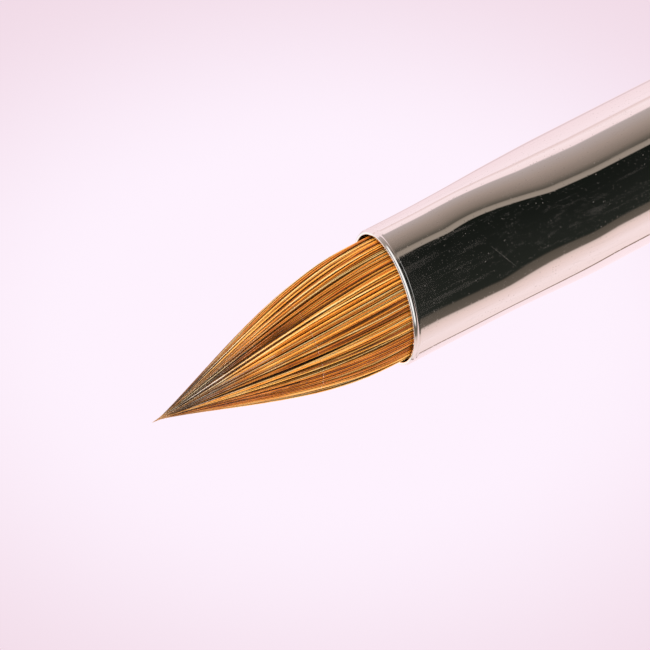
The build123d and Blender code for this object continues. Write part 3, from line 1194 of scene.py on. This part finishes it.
@dataclass
class Studio:
    """A self-lit pale paper floor far below with a painted pool of light round the brush, an even soft room,
    two softboxes for the hair and the camera.
    """

    layout: Layout  # The brush's axes
    azimuth: float = -37.06  # Camera's turn about +Z from a view along +Y, in degrees
    elevation: float = 43.3  # Its height above the horizon, in degrees
    distance: float = 250 * MM  # From the camera to what it looks at
    lens: float = 297.8  # Focal length in millimetres, on a sensor 36 mm wide
    aim_right: float = 2.725 * MM  # How far left of the mouth the camera looks
    aim_up: float = 1.218 * MM  # How far below it
    floor_height: float = -1200 * MM  # Height of the paper, so far below that it takes no shadow
    floor_half: float = 6.0  # Half its side
    # Distances over which the painted pool of light on the paper fades into its plain colour further out
    pool_light_painted_reach: tuple[float, float] = (90 * MM, 240 * MM)
    paper: str = "#FEF2FE"  # Colour of the painted pool of light on the paper near the brush
    paper_far: str = "#F1DBE7"  # The paper's plain colour further out, and the room's
    room_strength: float = 1.13  # Brightness of the room in mirrors
    fill: str = "#FFF3EA"  # Colour of the even light on matte things
    fill_strength: float = 0.75  # Its brightness
    key_size: float = 110 * MM  # Side of a softbox
    key_distance: float = 260 * MM  # Its distance
    # Angle about the brush and colour of each band of the room that the plating mirrors
    room: tuple[tuple[float, str], ...] = (
        (-180.0, "#FAE6ED"), (-128.4, "#FAE6ED"), (-127.2, "#7A604E"), (-124.8, "#7A604E"),
        (-123.6, "#F3DEDE"), (-98.0, "#F5E2E4"), (-80.0, "#E6CECA"), (-73.8, "#D2BEB8"), (-71.6, "#645B53"),
        (-60.5, "#554E46"), (-57.5, "#222521"), (0.0, "#171A17"), (22.5, "#141714"), (24.0, "#988D83"),
        (30.5, "#91867B"), (32.0, "#544E47"), (36.0, "#655D55"), (42.0, "#81746B"), (60.0, "#A09189"),
        (81.0, "#B4A8A7"), (83.5, "#F6E2E5"), (96.0, "#FAE8EC"), (103.0, "#E4CCCC"), (106.0, "#FAE8EF"),
        (150.0, "#F2DCE2"), (158.0, "#D8C2C6"), (164.0, "#E6D0D6"), (180.0, "#FAE6ED"),
    )
    # The same for the end of the room ahead of the tip
    room_ahead: tuple[tuple[float, str], ...] = (
        (-180.0, "#FFFFFF"), (-148.0, "#FFFFFF"), (-141.0, "#A59E98"), (-129.0, "#A59E98"),
        (-121.0, "#F4E8EA"), (-86.0, "#F4E8EA"), (-79.0, "#8A837C"), (-60.0, "#5A554F"), (-52.0, "#FFFFFF"),
        (52.0, "#FFFFFF"), (59.0, "#8A837C"), (76.0, "#A59E98"), (84.0, "#F4E8EA"), (150.0, "#FFFFFF"),
        (180.0, "#FFFFFF"),
    )
    # Name, way (right, up, back), radiance and colour of each light for the hair
    softboxes: tuple[tuple[str, tuple[float, float, float], float, str], ...] = (
        ("hair_key", (-0.32, 0.62, 0.72), 15.0, "#FFF2E0"),
        ("hair_bounce", (0.15, -0.95, 0.18), 16.0, "#FFEFE6"),
    )

    def axes(self) -> tuple[Array, Array, Array]:
        """The camera's right, up and backward directions."""
        a, e = math.radians(self.azimuth), math.radians(self.elevation)
        back = np.array([math.sin(a) * math.cos(e), -math.cos(a) * math.cos(e), math.sin(e)])
        right = np.array([math.cos(a), math.sin(a), 0.0])
        return right, np.cross(back, right), back

    def add_camera(self) -> None:
        """Makes the camera, level and without depth of field."""
        right, up, back = self.axes()
        target = self.layout.mouth - right * self.aim_right - up * self.aim_up
        data = bpy.data.cameras.new("camera")
        data.lens, data.sensor_width = self.lens, 36.0
        data.clip_start, data.clip_end = 0.01, 20.0
        place = target + back * self.distance
        bpy.context.scene.camera = stand("camera", data, (right, up, back), place)

    def add_floor(self) -> None:
        """Makes the paper floor, which glows in its own colour with a painted pool of light round the brush,
        lights nothing and isn't mirrored: the room does that.
        """
        corners = self.floor_half * np.array([[-1, -1], [1, -1], [1, 1], [-1, 1]])
        points = np.column_stack([corners, np.full(4, self.floor_height)])
        floor = make_piece("paper_floor", points, np.array([[0, 1, 2, 3]]))
        back = self.axes()[2]
        reach = (self.layout.mouth[2] - self.floor_height) / back[2]
        middle = self.layout.mouth - back * reach
        material, tree, coords = start_material("pale_paper")
        # Painted pool of light: paler paper round the point under the brush, fading further out
        offset = add_node(tree, "VectorMath", {0: coords, 1: tuple(map(float, middle))}, operation="SUBTRACT")
        reach_out = add_node(tree, "VectorMath", {0: offset}, operation="LENGTH")
        fade = add_node(tree, "MapRange", {"Value": reach_out.outputs["Value"],
            "From Min": self.pool_light_painted_reach[0], "From Max": self.pool_light_painted_reach[1]}, interpolation_type="SMOOTHSTEP")
        colour = add_node(tree, "Mix", {0: fade, 6: linear(self.paper), 7: linear(self.paper_far)},
            data_type="RGBA")
        wear(floor, end_material(material, "Emission", {"Color": colour}))
        floor.visible_diffuse = floor.visible_glossy = floor.visible_shadow = False

    def add_room(self) -> None:
        """Makes the room: bands about the brush for mirrors, an even fill, and plain paper behind.

        A direction's angle about the brush is the arc tangent of its parts along two axes square to
        the brush, one towards the camera and one up. Directions ahead of the tip see whiter bands,
        because that end of the light tent is open, and they light up the cut of the mouth.
        """
        world = bpy.data.worlds.new("soft_room")
        bpy.context.scene.world = world
        world.use_nodes = True
        tree = world.node_tree
        tree.nodes.clear()
        back = self.axes()[2]
        facing = np.array([0.0, back[1], back[2]]) / math.hypot(back[1], back[2])
        above = np.cross(facing, [1.0, 0.0, 0.0])
        way = add_node(tree, "TexCoord").outputs["Generated"]
        parts = [
            add_node(tree, "VectorMath", {0: way, 1: tuple(map(float, axis))}, operation="DOT_PRODUCT")
            for axis in (above, facing, (-1.0, 0.0, 0.0))
        ]
        angle = add_node(tree, "Math", {0: parts[0].outputs["Value"], 1: parts[1].outputs["Value"]},
            operation="ARCTAN2")
        share = add_node(tree, "MapRange", {"Value": angle, "From Min": -math.pi, "From Max": math.pi})
        bands = []
        for room in (self.room, self.room_ahead):
            stops = tuple(((degrees + 180) / 360, colour) for degrees, colour in room)
            bands.append(add_node(tree, "ValToRGB", {"Fac": share}, stops=stops))
        ahead = add_node(tree, "MapRange", {"Value": parts[2].outputs["Value"], "From Min": 0.30,
            "From Max": 0.42}, interpolation_type="SMOOTHSTEP")
        seen = add_node(tree, "Mix", {0: ahead, 6: bands[0], 7: bands[1]}, data_type="RGBA")
        mirrored = add_node(tree, "Background", {"Color": seen, "Strength": self.room_strength})
        even = add_node(tree, "Background", {"Color": linear(self.fill), "Strength": self.fill_strength})
        plain = add_node(tree, "Background", {"Color": linear(self.paper_far)})
        path = add_node(tree, "LightPath")
        lit = add_node(tree, "MixShader", {0: path.outputs["Is Diffuse Ray"], 1: mirrored, 2: even})
        shown = add_node(tree, "MixShader", {0: path.outputs["Is Camera Ray"], 1: lit, 2: plain})
        add_node(tree, "OutputWorld", {"Surface": shown})

    def add_softboxes(self, receivers: list[Piece]) -> None:
        """Makes the softboxes that light only the hair: one above the camera and one low bounce.

        Args:
            receivers: The hair's pieces.
        """
        right, up, back = self.axes()
        lit = bpy.data.collections.new("lit_by_softboxes")
        for piece in receivers:
            lit.objects.link(piece)
        for name, (rightward, upward, backward), radiance, colour in self.softboxes:
            way = right * rightward + up * upward + back * backward
            way = way / np.linalg.norm(way)
            data = bpy.data.lights.new(name, "AREA")
            data.shape, data.size, data.size_y = "RECTANGLE", self.key_size, self.key_size
            data.color = linear(colour)[:3]
            data.energy = radiance * math.pi * self.key_size**2
            side = np.cross(right, way)
            side = side / np.linalg.norm(side)
            place = self.layout.mouth + way * self.key_distance
            softbox = stand(name, data, (side, np.cross(way, side), way), place)
            softbox.light_linking.receiver_collection = lit

    def build(self, hair: list[Piece]) -> None:
        """Makes the whole studio.

        Args:
            hair: The hair's pieces, which the softboxes light.
        """
        bpy.context.scene.view_settings.view_transform = "Standard"
        self.add_camera()
        self.add_floor()
        self.add_room()
        self.add_softboxes(hair)


def main() -> None:
    """Builds the brush piece by piece, then the studio round it."""
    logging.basicConfig(level=logging.INFO, format="%(message)s")
    layout = Layout.from_frame(tuft_out=13.1 * MM)
    ferrule = Ferrule(layout)
    ferrule.build()
    hair = Tuft(layout).build()
    Handle(layout, ferrule).build()
    InnerParts().dress()
    Studio(layout).build(hair)


if __name__ == "__main__":
    main()
